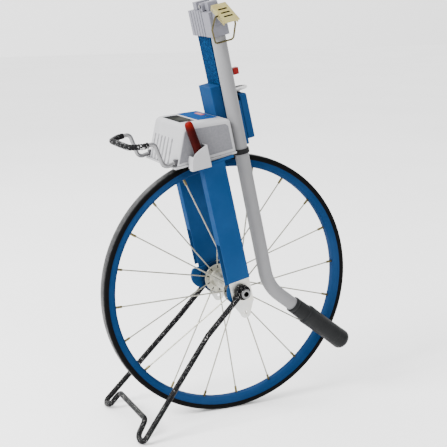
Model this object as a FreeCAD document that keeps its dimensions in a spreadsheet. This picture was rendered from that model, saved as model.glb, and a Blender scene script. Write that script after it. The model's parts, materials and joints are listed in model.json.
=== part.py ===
import FreeCAD, Part
import os
import math
import Sketcher
from FreeCAD import Vector, Rotation, Placement

# Folding measuring wheel.
# Frame of the model: origin on the wheel axle at mid width, +X to the rear (towards the operator), +Y to the side away
# from the folded handle, +Z up. The ground is at z = -wheel_r. The fork, column, counter housing and handle are
# drawn in a leaning frame (x across the fork, y along the axle, s up the fork) that turns by `lean` about the axle.

doc = FreeCAD.newDocument("measuring_wheel")

# ---------------------------------------------------------------- driving sizes, millimetres and degrees
SIZES = [
    ("wheel_r", 194.0), ("tyre_hw", 9.3), ("tyre_base_r", 186.0), ("tongue_r", 180.6), ("tongue_hw", 6.3),
    ("rim_in_r", 175.0), ("rim_floor", 2.6), ("rim_hw", 8.4), ("rim_wall", 2.1),
    ("spoke_d", 2.0), ("spoke_count", 20.0), ("spoke_phase", 5.2), ("nipple_d", 3.6), ("nipple_len", 10.5),
    ("flange_y", 33.0), ("flange_r", 21.5), ("flange_th", 3.2), ("barrel_r", 12.0), ("hub_hl", 42.0),
    ("bearing_r", 10.0), ("bearing_w", 8.0), ("hub_bore_r", 8.0),
    ("axle_r", 6.0), ("axle_bore_r", 3.75), ("axle_len", 133.4), ("run_gap", 0.05),
    ("nut_r", 7.0), ("nut_y", 58.5), ("nut_len", 7.9),
    ("disc_r", 24.0), ("disc_th", 1.0), ("disc_y", 40.0),
    ("lean", 12.9),
    ("leg_front", -21.5), ("leg_w", 33.5), ("leg_far_more", 8.0), ("leg_in_y", 46.5), ("leg_out_y", 62.6), ("leg_wall", 1.5), ("leg_low", 22.0),
    ("leg_high", 196.5), ("leg_notch", 80.0), ("lobe_r", 22.0),
    ("crown_th", 3.5), ("crown_rear", 27.0), ("tongue_y", 21.0),
    ("drop_th", 1.5), ("drop_hw", 16.0), ("drop_top", 52.0), ("drop_low", -20.0), ("drop_hole_s", -33.0), ("drop_tip_r", 8.5), ("drop_hole_r", 2.25),
    ("col_front", 45.0), ("col_d", 21.0), ("col_hy", 21.0), ("col_wall", 1.8), ("col_low", 200.0), ("col_high", 361.0),
    ("sleeve_front", 30.0), ("sleeve_high", 291.0),
    ("bat_in", 71.5), ("bat_out", 82.5), ("bat_hy", 21.0), ("bat_low", 198.0), ("bat_high", 262.0), ("bat_wall", 2.0),
    ("cell_r", 5.2), ("cell_len", 44.5), ("cap_r", 13.5), ("cap_th", 3.0),
    ("head_front", 39.5), ("head_rear", 66.0), ("head_hy", 21.0), ("head_far", 23.5), ("head_low", 361.0), ("head_high", 396.0),
    ("pin_y", -19.5), ("pin_s", 402.0), ("pin_r", 2.5), ("knuckle_r", 5.0),
    ("tube_x", 50.5), ("tube_y", -40.0), ("tube_r", 10.0), ("tube_wall", 1.5), ("bend_s", -10.6), ("bend_deg", 38.8), ("bend_r", 65.0),
    ("hblock_hw", 12.3), ("hblock_in", -27.0), ("hblock_out", -51.0), ("hblock_low", 361.0), ("hblock_high", 395.0),
    ("grip_r", 15.0), ("grip_len", 116.0), ("grip_start", 51.5), ("tube_lean", 4.5), ("ring_r", 11.8), ("ring_s", 193.5), ("ring_len", 7.0),
    ("hous_hy", 57.0), ("hous_wall", 2.4), ("hous_round", 6.0),
    ("stand_r", 4.1), ("eye_y", 54.2), ("eye_w", 7.6), ("eye_r", 11.0),
    ("wire_r", 3.0), ("rubber_r", 4.4), ("bail_r", 1.3),
    ("crayon_r", 6.0), ("crayon_len", 62.0),
    ("press_cap", 9.6), ("press_stem_r", 3.0),
]
S = dict(SIZES)
sheet = doc.addObject("Spreadsheet::Sheet", "Sizes")
for row, (name, value) in enumerate(SIZES, start=1):
    sheet.set("A%d" % row, name)
    sheet.set("B%d" % row, repr(value))
    sheet.setAlias("B%d" % row, name)
doc.recompute()


class Q:
    """A size with its value and the spreadsheet expression that gives it."""

    def __init__(self, v, e):
        self.v, self.e = v, e

    @staticmethod
    def of(x):
        return x if isinstance(x, Q) else Q(float(x), repr(float(x)))

    def __add__(self, o):
        o = Q.of(o)
        return Q(self.v + o.v, "(%s + %s)" % (self.e, o.e))

    def __radd__(self, o):
        return Q.of(o) + self

    def __sub__(self, o):
        o = Q.of(o)
        return Q(self.v - o.v, "(%s - %s)" % (self.e, o.e))

    def __rsub__(self, o):
        return Q.of(o) - self

    def __mul__(self, o):
        o = Q.of(o)
        return Q(self.v * o.v, "(%s * %s)" % (self.e, o.e))

    __rmul__ = __mul__

    def __neg__(self):
        return Q(-self.v, "(0 - %s)" % self.e)


def q(name):
    return Q(S[name], "Sizes." + name)


def val(x):
    return x.v if isinstance(x, Q) else float(x)


def bind(obj, prop, x):
    if isinstance(x, Q):
        obj.setExpression(prop, x.e)
    else:
        setattr(obj, prop, float(x))


LEAN = Placement(Vector(0, 0, 0), Rotation(Vector(0, 1, 0), -S["lean"]))
SIN, COS = math.sin(math.radians(S["lean"])), math.cos(math.radians(S["lean"]))
parts = []
counter = [0]


def fresh(kind, stem):
    counter[0] += 1
    return doc.addObject(kind, "%s_%03d" % (stem, counter[0]))


def part(obj, label, leaning=False):
    """Names a finished sub-part, and turns it with the fork where it is drawn in the leaning frame."""
    if leaning and obj.TypeId in ("Part::Box", "Part::Cylinder"):
        obj = group(obj)
    obj.Label = label
    if leaning:
        obj.Placement = LEAN.multiply(obj.Placement)
    parts.append(obj)
    return obj


def at(obj, x, y, z, rotation=None):
    obj.Placement = Placement(Vector(val(x), val(y), val(z)), rotation or Rotation())
    for axis, value in (("x", x), ("y", y), ("z", z)):
        if isinstance(value, Q):
            obj.setExpression("Placement.Base." + axis, value.e)
    return obj


def box(x0, x1, y0, y1, z0, z1):
    b = fresh("Part::Box", "block")
    bind(b, "Length", Q.of(x1) - x0)
    bind(b, "Width", Q.of(y1) - y0)
    bind(b, "Height", Q.of(z1) - z0)
    return at(b, x0, y0, z0)


TO_Y = Rotation(Vector(1, 0, 0), -90)
TO_X = Rotation(Vector(0, 1, 0), 90)


def cyl(r, length, x, y, z, rotation=None):
    c = fresh("Part::Cylinder", "round")
    bind(c, "Radius", r)
    bind(c, "Height", length)
    return at(c, x, y, z, rotation)


def cut(base, *tools):
    for tool in tools:
        c = fresh("Part::Cut", "cut")
        c.Base, c.Tool = base, tool
        base = c
    return base


def fuse(*shapes):
    f = fresh("Part::MultiFuse", "join")
    f.Shapes = list(shapes)
    f.Refine = True
    return f


def group(*shapes):
    """Several separate solids of one kind, kept together as one node."""
    g = fresh("Part::Compound", "set")
    g.Links = list(shapes)
    return g


def plane_of(body, role):
    return [f for f in body.Origin.OriginFeatures if f.Role == role][0]


def outline(body, role, points, name="outline"):
    """A closed sketch of straight lines on one of the body's own planes; each corner held by distances from the origin,
    bound to the sheet where the corner is given as a size."""
    sk = body.newObject("Sketcher::SketchObject", name + "_%03d" % len(parts))
    sk.AttachmentSupport = (plane_of(body, role), [""])
    sk.MapMode = "FlatFace"
    n = len(points)
    flat = [(val(a), val(b)) for a, b in points]
    for i in range(n):
        a, b = flat[i], flat[(i + 1) % n]
        sk.addGeometry(Part.LineSegment(Vector(a[0], a[1], 0), Vector(b[0], b[1], 0)), False)
    for i in range(n):
        sk.addConstraint(Sketcher.Constraint("Coincident", i, 2, (i + 1) % n, 1))
    for i in range(n):
        for k, kind in ((0, "DistanceX"), (1, "DistanceY")):
            size = points[i][k]
            v = flat[i][k]
            if abs(v) < 1e-9:
                sk.addConstraint(Sketcher.Constraint("PointOnObject", i, 1, -2 if k == 0 else -1))
                continue
            if v > 0:
                c = sk.addConstraint(Sketcher.Constraint(kind, -1, 1, i, 1, v))
            else:
                c = sk.addConstraint(Sketcher.Constraint(kind, i, 1, -1, 1, -v))
            if isinstance(size, Q):
                sk.setExpression("Constraints[%d]" % c, size.e if v > 0 else "(0 - %s)" % size.e)
    return sk


def new_body(label):
    counter[0] += 1
    return doc.addObject("PartDesign::Body", "body_%03d" % counter[0])


def turned(label, points):
    """A ring or spindle turned about the axle line: points are (radius, y)."""
    body = new_body(label)
    sk = outline(body, "XY_Plane", points)
    rev = body.newObject("PartDesign::Revolution", "turn_%03d" % counter[0])
    rev.Profile = sk
    rev.ReferenceAxis = (sk, ["V_Axis"])
    rev.Angle = 360.0
    body.Tip = rev
    return body


def padded(label, role, points, length, midplane=False, reverse=False):
    body = new_body(label)
    sk = outline(body, role, points)
    pad = body.newObject("PartDesign::Pad", "pad_%03d" % counter[0])
    pad.Profile = sk
    bind(pad, "Length", length)
    pad.Midplane = midplane
    pad.Reversed = reverse
    body.Tip = pad
    return body


def bent(points, radii):
    """A wire path of straight runs joined by tangent arcs."""
    pts = [Vector(*[val(c) for c in p]) for p in points]
    edges, start = [], pts[0]
    for i in range(1, len(pts) - 1):
        a, b, c = pts[i - 1], pts[i], pts[i + 1]
        u, w = (a - b).normalize(), (c - b).normalize()
        half = math.acos(max(-1.0, min(1.0, u.dot(w)))) / 2.0
        r = radii[i - 1] if isinstance(radii, (list, tuple)) else radii
        t = r / math.tan(half)
        t = min(t, 0.48 * (a - b).Length, 0.48 * (c - b).Length)
        r = t * math.tan(half)
        p0, p1 = b + u * t, b + w * t
        bis = (u + w).normalize()
        centre = b + bis * (r / math.sin(half))
        mid = centre - bis * r
        if (p0 - start).Length > 1e-6:
            edges.append(Part.LineSegment(start, p0).toShape())
        edges.append(Part.Arc(p0, mid, p1).toShape())
        start = p1
    if (pts[-1] - start).Length > 1e-6:
        edges.append(Part.LineSegment(start, pts[-1]).toShape())
    return Part.Wire(edges)


def rod(points, radii, r):
    """A round rod swept along a bent path: a circle section bound to the sheet, swept along the path."""
    path = fresh("Part::Feature", "path")
    path.Shape = bent(points, radii)
    p0, p1 = [Vector(*[val(c) for c in p]) for p in points[:2]]
    ring = fresh("Part::Circle", "section")
    bind(ring, "Radius", r)
    ring.Placement = Placement(p0, Rotation(Vector(0, 0, 1), p1 - p0))
    sweep = fresh("Part::Sweep", "rod")
    sweep.Sections = [ring]
    sweep.Spine = (path, ["Edge%d" % (i + 1) for i in range(len(path.Shape.Edges))])
    sweep.Solid = True
    sweep.Frenet = False
    return sweep


def stick(a, b, r):
    """A straight round bar from a to b."""
    a, b = Vector(*[val(c) for c in a]), Vector(*[val(c) for c in b])
    c = fresh("Part::Cylinder", "bar")
    bind(c, "Radius", r)
    c.Height = (b - a).Length
    c.Placement = Placement(a, Rotation(Vector(0, 0, 1), b - a))
    return c


# ---------------------------------------------------------------- the wheel
part(turned("tyre", [(q("wheel_r"), -3.5), (q("wheel_r"), 3.5), (q("wheel_r") - 1.4, 7.4), (q("wheel_r") - 3.6, q("tyre_hw")), (q("tyre_base_r"), q("tyre_hw") - 0.5),
                     (q("tyre_base_r"), q("tongue_hw")), (q("tongue_r"), q("tongue_hw") - 0.4), (q("tongue_r"), -(q("tongue_hw") - 0.4)), (q("tyre_base_r"), -q("tongue_hw")),
                     (q("tyre_base_r"), -(q("tyre_hw") - 0.5)), (q("wheel_r") - 3.6, -q("tyre_hw")), (q("wheel_r") - 1.4, -7.4)]), "tyre")
part(turned("rim", [(q("rim_in_r"), -4.5), (q("rim_in_r"), 4.5), (q("rim_in_r") + 3.0, q("rim_hw")), (q("tyre_base_r"), q("rim_hw")), (q("tyre_base_r"), q("tongue_hw")),
                    (q("rim_in_r") + q("rim_floor") + 2.2, q("tongue_hw")), (q("rim_in_r") + q("rim_floor"), 4.0), (q("rim_in_r") + q("rim_floor"), -4.0),
                    (q("rim_in_r") + q("rim_floor") + 2.2, -q("tongue_hw")), (q("tyre_base_r"), -q("tongue_hw")), (q("tyre_base_r"), -q("rim_hw")), (q("rim_in_r") + 3.0, -q("rim_hw"))]), "rim")
fy, ft = q("flange_y"), q("flange_th")
hub_profile = [(q("hub_bore_r"), -(q("hub_hl") - q("bearing_w"))), (q("hub_bore_r"), q("hub_hl") - q("bearing_w")), (q("bearing_r"), q("hub_hl") - q("bearing_w")), (q("bearing_r"), q("hub_hl")),
               (q("barrel_r"), q("hub_hl")), (q("barrel_r"), fy + ft * 0.5), (q("flange_r"), fy + ft * 0.5), (q("flange_r"), fy - ft * 0.5), (q("barrel_r") + 1.5, fy - ft * 0.5),
               (q("barrel_r"), fy - 6.0), (q("barrel_r"), -(fy - 6.0)), (q("barrel_r") + 1.5, -(fy - ft * 0.5)), (q("flange_r"), -(fy - ft * 0.5)), (q("flange_r"), -(fy + ft * 0.5)),
               (q("barrel_r"), -(fy + ft * 0.5)), (q("barrel_r"), -q("hub_hl")), (q("bearing_r"), -q("hub_hl")), (q("bearing_r"), -(q("hub_hl") - q("bearing_w")))]
part(turned("hub_shell", hub_profile), "hub_shell")
part(group(*[cut(cyl(q("bearing_r"), q("bearing_w"), 0, y, 0, TO_Y), cyl(q("axle_r") + q("run_gap"), q("bearing_w") + 2, 0, y - 1, 0, TO_Y))
             for y in (q("hub_hl") - q("bearing_w"), -q("hub_hl"))]), "hub_bearings")
part(cut(cyl(q("disc_r"), q("disc_th"), 0, q("disc_y"), 0, TO_Y), cyl(q("barrel_r"), q("disc_th") + 2, 0, q("disc_y") - 1, 0, TO_Y)), "encoder_disc")

spokes, nipples = [], []
N = int(S["spoke_count"])
for i in range(N):
    a = math.radians(S["spoke_phase"] + i * 360.0 / N)
    side = -1 if i % 2 == 0 else 1
    p = Vector((S["flange_r"] - 3.0) * math.cos(a), side * S["flange_y"], (S["flange_r"] - 3.0) * math.sin(a))
    e = Vector((S["rim_in_r"] + 1.2) * math.cos(a), side * 1.6, (S["rim_in_r"] + 1.2) * math.sin(a))
    d = (e - p).normalize()
    m = e - d * S["nipple_len"]
    spokes.append(stick(tuple(p), tuple(m - d * 0.02), q("spoke_d") * 0.5))
    nipples.append(stick(tuple(m), tuple(e), q("nipple_d") * 0.5))
part(group(*spokes), "spokes")
part(group(*nipples), "spoke_nipples")

# ---------------------------------------------------------------- axle, nuts and dropouts
part(cut(cyl(q("axle_r"), q("axle_len"), 0, q("axle_len") * -0.5, 0, TO_Y), cyl(q("axle_bore_r"), q("axle_len") + 4, 0, q("axle_len") * -0.5 - 2, 0, TO_Y)), "axle")
part(group(*[cut(cyl(q("nut_r"), q("nut_len"), 0, y, 0, TO_Y), cyl(q("axle_r"), q("nut_len") + 2, 0, y - 1, 0, TO_Y)) for y in (q("nut_y"), -(q("nut_y") + q("nut_len")))]), "axle_nuts")
bi = q("leg_in_y") + q("leg_wall")
part(group(*[cut(cyl(10.0, 0.6, 0, y, 0, TO_Y), cyl(q("axle_r"), 3, 0, y - 1, 0, TO_Y)) for y in (bi + q("drop_th"), -(bi + q("drop_th") + 0.6))]), "axle_washers")
part(group(*[cut(cyl(8.0, b - a, 0, a, 0, TO_Y), cyl(q("axle_r"), 20, 0, a - 1, 0, TO_Y)) for a, b in ((q("hub_hl") + 0.1, bi), (-q("leg_in_y"), -(q("hub_hl") + 0.1)))]), "axle_spacers")
for label, sign in (("dropout_near", -1), ("dropout_far", 1)):
    y0 = bi if sign > 0 else -(bi + q("drop_th"))
    hw = q("drop_hw")
    plate = box(-hw, hw + (-5.6), y0, y0 + q("drop_th"), q("drop_low"), q("drop_top"))
    plate2 = box(-hw, hw, y0, y0 + q("drop_th"), q("drop_low"), q("leg_low") - 0.5)
    body = new_body("taper")
    sk = outline(body, "XZ_Plane", [(-hw, q("drop_low") + 2), (-q("drop_tip_r"), q("drop_hole_s")), (q("drop_tip_r"), q("drop_hole_s")), (hw, q("drop_low") + 2)])
    pad = body.newObject("PartDesign::Pad", "taper_pad_%03d" % counter[0])
    pad.Profile = sk
    bind(pad, "Length", q("drop_th"))
    pad.Reversed = sign > 0
    body.Tip = pad
    body.Placement = Placement(Vector(0, sign * val(bi), 0), Rotation())
    tip = cyl(q("drop_tip_r"), q("drop_th"), 0, y0, q("drop_hole_s"), TO_Y)
    solid = fuse(plate, plate2, body, tip)
    part(cut(solid, cyl(q("axle_r"), 8, 0, y0 - 3, 0, TO_Y), cyl(q("drop_hole_r"), 8, 0, y0 - 3, q("drop_hole_s"), TO_Y)), label, True)

# ---------------------------------------------------------------- fork legs: open box sections, notched in front for the folded stand
lf, lr = q("leg_front"), q("leg_front") + q("leg_w")
li, lo, lw = q("leg_in_y"), q("leg_out_y"), q("leg_wall")
for label, sign in (("fork_leg_near", -1), ("fork_leg_far", 1)):
    def ys(a, b):
        return (a, b) if sign > 0 else (-b, -a)
    back = lr if sign < 0 else lr + q("leg_far_more")
    y0, y1 = ys(li, lo)
    outer = box(lf, back, y0, y1, q("leg_low"), q("leg_high"))
    y0, y1 = ys(li + lw, lo - lw)
    inner = box(lf + lw, back - lw, y0, y1, q("leg_low") - 5, q("leg_high") - 3)
    notch = box(lf - 5, lf + lw + 1, y0, y1, q("leg_low") - 5, q("leg_notch"))
    leg = cut(outer, inner, notch)
    if sign < 0:
        lobe = cut(cyl(q("lobe_r"), lw, 0, -(li + lw), 0, TO_Y), box(-40, 40, -(li + lw) - 2, -li + 2, q("leg_low") - 0.0, 60), box(lr, 60, -(li + lw) - 2, -li + 2, -60, 60),
                   cyl(q("axle_r"), 6, 0, -(li + lw) - 2, 0, TO_Y))
        stem = box(lf, lr, -(li + lw), -li, 16.0, q("leg_low") + 1)
        leg = fuse(leg, cut(stem, cyl(q("axle_r"), 6, 0, -(li + lw) - 2, 0, TO_Y)), lobe)
    part(leg, label, True)

# sensor pod on the far side with the pick-up that reads the encoder disc
pod = cut(cyl(20.5, 5.0, -17.0, 42.9, 8.0, TO_Y), box(-60, 60, 40, 50, q("leg_low") - 0.1, 80), cyl(q("barrel_r") + 1.0, 12, 0, 40, 0, TO_Y),
          box(-22.0, -14.0, 42.0, 46.0, 2.0, 12.0))
part(pod, "sensor_pod", True)
part(box(-21.9, -14.1, 41.6, 45.9, 2.1, 11.9), "pickup_sensor", True)

# ---------------------------------------------------------------- crown, column sleeve, column
ty = q("tongue_y")
crown = padded("crown", "XY_Plane", [(lf, -lo), (q("crown_rear"), -lo), (q("crown_rear"), -ty), (q("col_front") + q("col_d"), -ty), (q("col_front") + q("col_d"), ty),
                                     (q("crown_rear"), ty), (q("crown_rear"), lo), (lf, lo)], q("crown_th"))
crown.Placement = Placement(Vector(0, 0, S["leg_high"]), Rotation())
part(crown, "fork_crown", True)
cf, cr, cy, cw = q("col_front"), q("col_front") + q("col_d"), q("col_hy"), q("col_wall")
part(cut(box(cf, cr, -cy, cy, q("col_low"), q("col_high")), box(cf + cw, cr - cw, -cy + cw, cy - cw, q("col_low") + 2, q("col_high") + 5),
         cyl(q("press_stem_r") + 0.05, 30, 55, -7.0, 302.0, TO_X)), "column", True)
sf = q("sleeve_front")
part(cut(box(sf, cf, -cy, cy, q("col_low"), q("sleeve_high")), box(sf + 2, cf + 1, -cy + 2, cy - 2, q("col_low") - 1, q("sleeve_high") - 2)), "column_sleeve", True)

# ---------------------------------------------------------------- battery box on the back of the column
bw, by = q("bat_wall"), q("bat_hy")
part(cut(box(cr, q("bat_in"), -by, by, q("bat_low"), q("bat_high")), box(cr + bw, q("bat_in") + 1, -by + bw, by - bw, q("bat_low") + bw, q("bat_high") - bw)), "battery_box", True)
lid = cut(box(q("bat_in"), q("bat_out"), -by, by, q("bat_low") + 7, q("bat_high") + 8), box(q("bat_in") - 1, q("bat_out") - bw, -by + bw, by - bw, q("bat_low") + 9, q("bat_high") + 6))
part(lid, "battery_cover", True)
part(group(*[cyl(q("cell_r"), q("cell_len"), 74.0, y, 209.0) for y in (-12.0, 0.0, 12.0)]), "battery_cells", True)
# coin-slotted cap on a short neck above the battery box
part(cyl(2.5, 4.0, 80.0, 0, q("bat_high") + 8), "cap_neck", True)
cap = cut(cyl(q("cap_r"), q("cap_th"), 80.0, 0, q("bat_high") + 12.05), box(69, 90, -1.2, 1.2, q("bat_high") + 13.7, q("bat_high") + 20))
part(cap, "battery_cap", True)

# ---------------------------------------------------------------- release button behind the column
bty, bts = -7.0, 302.0
part(cut(cyl(7.0, 4.0, cr, bty, bts, TO_X), cyl(q("press_stem_r") + 0.05, 40, 45, bty, bts, TO_X)), "button_boss", True)
stem = cyl(q("press_stem_r"), 14.0, cr - 3.0, bty, bts, TO_X)
pc = q("press_cap") * 0.5
part(fuse(stem, box(73.5, 82.0, -pc + bty, pc + bty, bts - pc, pc + bts)), "side_button", True)

# ---------------------------------------------------------------- column head with the hinge ears
hf, hr, hy = q("head_front"), q("head_rear"), q("head_hy")
ears = [fuse(box(a, b, -24.5, -14.5, q("head_high") - 2, q("pin_s")), cyl(q("knuckle_r"), b - a, a, q("pin_y"), q("pin_s"), TO_X)) for a, b in ((41.5, 45.9), (58.1, 66.0))]
ribs = [box(hf - 0.1, hf + 1.2, y - 1.0, y + 1.0, q("head_low") - 1, q("head_high") + 1) for y in (-14.0, -4.7, 4.7, 14.0)]
head = fuse(box(hf, hr, -hy, q("head_far"), q("head_low"), q("head_high")), box(44, 65, -0.5, 12, q("head_high") - 1, 407), *ears)
part(cut(head, cyl(q("pin_r"), 40, 35, q("pin_y"), q("pin_s"), TO_X), *ribs), "column_head", True)
part(cyl(q("pin_r"), 24.5, hf, q("pin_y"), q("pin_s"), TO_X), "hinge_pin", True)
hfar = q("head_far")
catch = cut(box(46, 60, hfar, hfar + 6, 368, 382), box(45, 61, hfar + 2, hfar + 4.5, 366, 379))
part(catch, "latch_catch", True)

# ---------------------------------------------------------------- handle: head block, tube, ring, grip
tx, tyy = q("tube_x"), q("tube_y")
hb = box(tx - q("hblock_hw"), tx + q("hblock_hw"), q("hblock_out"), q("hblock_in"), q("hblock_low"), q("hblock_high"))
arm = box(46.1, 57.9, -36.0, q("pin_y"), q("hblock_high") - 1, q("pin_s") + 5)
arm = cut(fuse(arm, cyl(q("knuckle_r"), 11.8, 46.1, q("pin_y"), q("pin_s"), TO_X)), box(40, 70, q("pin_y") - 8, q("pin_y") + 8, 380, q("pin_s") - 5))
hole = cyl(q("pin_r") + q("run_gap"), 40, 35, q("pin_y"), q("pin_s"), TO_X)
top = Vector(S["tube_x"], S["tube_y"], S["hblock_low"] + 29.0)
vertex = Vector(S["tube_x"] - S["tube_lean"], S["tube_y"], S["bend_s"])
down = (vertex - top).normalize()
socket = stick(tuple(top - down * 1.0), tuple(top + down * 40.0), q("tube_r"))
part(cut(fuse(hb, arm), hole, socket), "handle_head", True)

ang = math.radians(S["bend_deg"])
gd = Vector(math.sin(ang), 0, -math.cos(ang))
grip_a = vertex + gd * S["grip_start"]
tube_end = grip_a + gd * (S["grip_len"] - 12.0)
path_pts = [tuple(top), tuple(vertex), tuple(tube_end)]
tube_outer = rod(path_pts, [S["bend_r"]], q("tube_r"))
in_pts = [tuple(top - down * 5), tuple(vertex), tuple(tube_end + gd * 5)]
tube_inner = rod(in_pts, [S["bend_r"]], q("tube_r") - q("tube_wall"))
part(cut(tube_outer, tube_inner), "handle_tube", True)
grip = fresh("Part::Feature", "grip")
gr, gl, tr = S["grip_r"], S["grip_len"], S["tube_r"]
profile = [(tr, 0), (tr + 2.2, 0), (tr + 2.2, 5), (gr - 1.6, 8), (gr - 0.2, 30), (gr, 60), (gr - 0.4, gl - 10), (gr - 2.5, gl - 4), (gr - 6.5, gl), (0, gl), (0, gl - 12), (tr, gl - 12)]
face = Part.Face(Part.makePolygon([Vector(r, 0, z) for r, z in profile + profile[:1]]))
grip.Shape = face.revolve(Vector(0, 0, 0), Vector(0, 0, 1), 360)
grip.Placement = Placement(grip_a, Rotation(Vector(0, 0, 1), gd))
part(grip, "grip", True)
ring_a = top + down * (S["hblock_low"] + 29.0 - S["ring_s"])
ring_b = ring_a - down * S["ring_len"]
part(cut(stick(tuple(ring_a), tuple(ring_b), q("ring_r")), stick(tuple(ring_a + down), tuple(ring_b - down), q("tube_r"))), "tube_ring", True)

# ---------------------------------------------------------------- draw latch on the handle head
LA = Vector(0, -58.0, 404.5)
ld = Vector(0, -0.857, -0.515)
ln = Vector(0, 0.515, -0.857)
LP = LA + ld * 5.0 + ln * 4.5
BP = LA + ld * 20.0 + ln * 4.5
base_plate = box(43.2, 60.8, -52.5, q("hblock_out"), 377, 394)
ear_pts = [(-51.5, 378.0), (-53.0, 378.0), (LP.y - 2.3, LP.z - 1.4), (LP.y + 1.4, LP.z + 2.3), (-51.5, 393.5)]
ears = []
for x0 in (43.2, 59.2):
    f = fresh("Part::Feature", "ear")
    f.Shape = Part.Face(Part.makePolygon([Vector(x0, y, z) for y, z in ear_pts + ear_pts[:1]])).extrude(Vector(1.6, 0, 0))
    ears += [f, cyl(2.7, 1.6, x0, LP.y, LP.z, TO_X)]
part(cut(fuse(base_plate, *ears), cyl(1.5, 30, 38, LP.y, LP.z, TO_X)), "latch_base", True)
part(cyl(1.5, 21.2, 41.4, LP.y, LP.z, TO_X), "latch_pin", True)


def lever_box(x0, x1, a0, a1, b0, b1):
    b = fresh("Part::Box", "lever")
    b.Length, b.Width, b.Height = x1 - x0, a1 - a0, b1 - b0
    m = FreeCAD.Matrix(1, 0, 0, 0, 0, ld.y, ln.y, 0, 0, ld.z, ln.z, 0, 0, 0, 0, 1)
    b.Placement = Placement(Vector(x0, LA.y, LA.z) + ld * a0 + ln * b0, Placement(m).Rotation)
    return b


lever = fuse(lever_box(41.2, 62.8, 0, 42.5, 0, 1.4), lever_box(41.2, 42.6, 0, 38, 0, 7.5), lever_box(61.4, 62.8, 0, 38, 0, 7.5))
slots = [lever_box(45.5, 58.5, a, a + 3.2, -1, 3) for a in (11.5, 20.0, 28.5)]
lever = cut(lever, cyl(1.5 + S["run_gap"], 30, 38, LP.y, LP.z, TO_X), cyl(S["bail_r"] + S["run_gap"], 30, 38, BP.y, BP.z, TO_X), *slots)
part(lever, "latch_lever", True)
bail_pts = [(44.0, BP.y, BP.z), (37.8, BP.y, BP.z), (33.0, BP.y + 8.3, BP.z - 17.0), (38.0, BP.y + 18.0, BP.z - 37.0), (65.0, BP.y + 18.0, BP.z - 37.0), (68.0, BP.y + 8.3, BP.z - 17.0), (65.2, BP.y, BP.z), (60.0, BP.y, BP.z)]
part(rod(bail_pts, [2.6, 6.0, 4.5, 4.5, 6.0, 2.6], q("bail_r")), "latch_bail", True)

# ---------------------------------------------------------------- counter housing
side = [(-56.0, 206.5), (-33.0, 259.0), (35.5, 249.5), (34.5, 203.0)]


def prism(points, y0, y1):
    f = fresh("Part::Feature", "prism")
    f.Shape = Part.Face(Part.makePolygon([Vector(x, y0, z) for x, z in points + points[:1]])).extrude(Vector(0, y1 - y0, 0))
    return f


hh, hw_ = S["hous_hy"], S["hous_wall"]
by_ = 50.4
shell_outer = prism(side, -hh, hh)
doc.recompute()
rounded = fresh("Part::Fillet", "rounding")
rounded.Base = shell_outer
edges = []
for i, e in enumerate(shell_outer.Shape.Edges, start=1):
    m = e.CenterOfMass
    low = m.z < 215 and abs(m.y) < hh - 1
    floor_edge = m.z < 207.5
    if not (low or floor_edge):
        edges.append((i, S["hous_round"], S["hous_round"]))
rounded.Edges = edges
inner_side = [(-56.0 + 3.4, 200.0), (-33.0 + 2.2, 259.0 - 2.6), (35.5 - 2.4, 249.5 - 2.4), (34.5 - 2.4, 200.0)]
shell = cut(rounded, prism(inner_side, -hh + hw_, hh - hw_), box(sf - 0.2, 60, -cy - 0.2, cy + 0.2, 190, 270),
            box(-66, -46, by_ - 4.1, by_ + 4.1, 200, 216), box(-66, -46, -by_ - 4.1, -by_ + 4.1, 200, 216), box(-25.5, -7.5, -27.0, 20.0, 240, 270), prism([(-2.0, 240), (-2.0, 270), (29.0, 270), (29.0, 240)], -32, 49))
part(shell, "counter_housing", True)
base = fuse(prism([(-59.0, 203.4), (-59.0, 206.2), (34.5, 202.8), (34.5, 200.05), (-21.5, 200.05), (-21.5, 202.0)], -hh - 1.5, hh + 1.5),
            prism([(-46.0, 204.0), (-46.0, 209.0), (31.5, 205.6), (31.5, 201.0)], -hh + hw_ + 0.1, hh - hw_ - 0.1))
part(cut(base, box(sf - 0.2, 60, -cy - 0.2, cy + 0.2, 190, 270), box(-44, 28, -48, 48, 203.2, 215)), "housing_base", True)
# window, display, keypad and buttons lie in the sloping top
TOP0, TOP1 = Vector(-33.0, 0, 259.0), Vector(35.5, 0, 249.5)
td = (TOP1 - TOP0).normalize()
tn = Vector(-td.z, 0, td.x)
slope = math.degrees(math.atan2(-td.z, td.x))
TOPROT = Rotation(Vector(0, 1, 0), slope)


def on_top(x):
    t = (x - TOP0.x) / td.x
    return TOP0 + td * t


def top_box(x0, x1, y0, y1, d0, d1):
    """A flat block parallel to the sloping top, from depth d0 to d1 measured up from the outer face."""
    b = fresh("Part::Box", "panel")
    b.Length, b.Width, b.Height = (x1 - x0) / td.x, y1 - y0, d1 - d0
    o = on_top(x0) + tn * d0
    b.Placement = Placement(Vector(o.x, y0, o.z), TOPROT)
    return b


part(top_box(-25.2, -7.8, -26.7, 19.7, -2.2, -0.6), "display_window", True)
part(top_box(-28.0, -5.0, -30.0, 24.0, -7.6, -4.0), "display_module", True)
kp = top_box(-1.6, 28.6, -31.6, 48.6, -2.2, -0.3)
kp = cut(kp, top_box(17.4, 24.6, 4.0, 30.0, -5, 2))
o = on_top(20.0)
small_hole = fresh("Part::Cylinder", "hole")
small_hole.Radius, small_hole.Height = 3.2, 8.0
small_hole.Placement = Placement(Vector(o.x, -12.5, o.z) - tn * 5.0, TOPROT)
part(cut(kp, small_hole), "keypad", True)
part(top_box(17.8, 24.2, 4.4, 29.6, -2.6, 0.5), "reset_button", True)
mb = fresh("Part::Cylinder", "button")
mb.Radius, mb.Height = 2.9, 3.1
mb.Placement = Placement(Vector(o.x, -12.5, o.z) - tn * 2.6, TOPROT)
part(mb, "hold_button", True)
part(top_box(-30.0, 27.0, -45.0, 48.0, -13.0, -11.4), "circuit_board", True)
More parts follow.
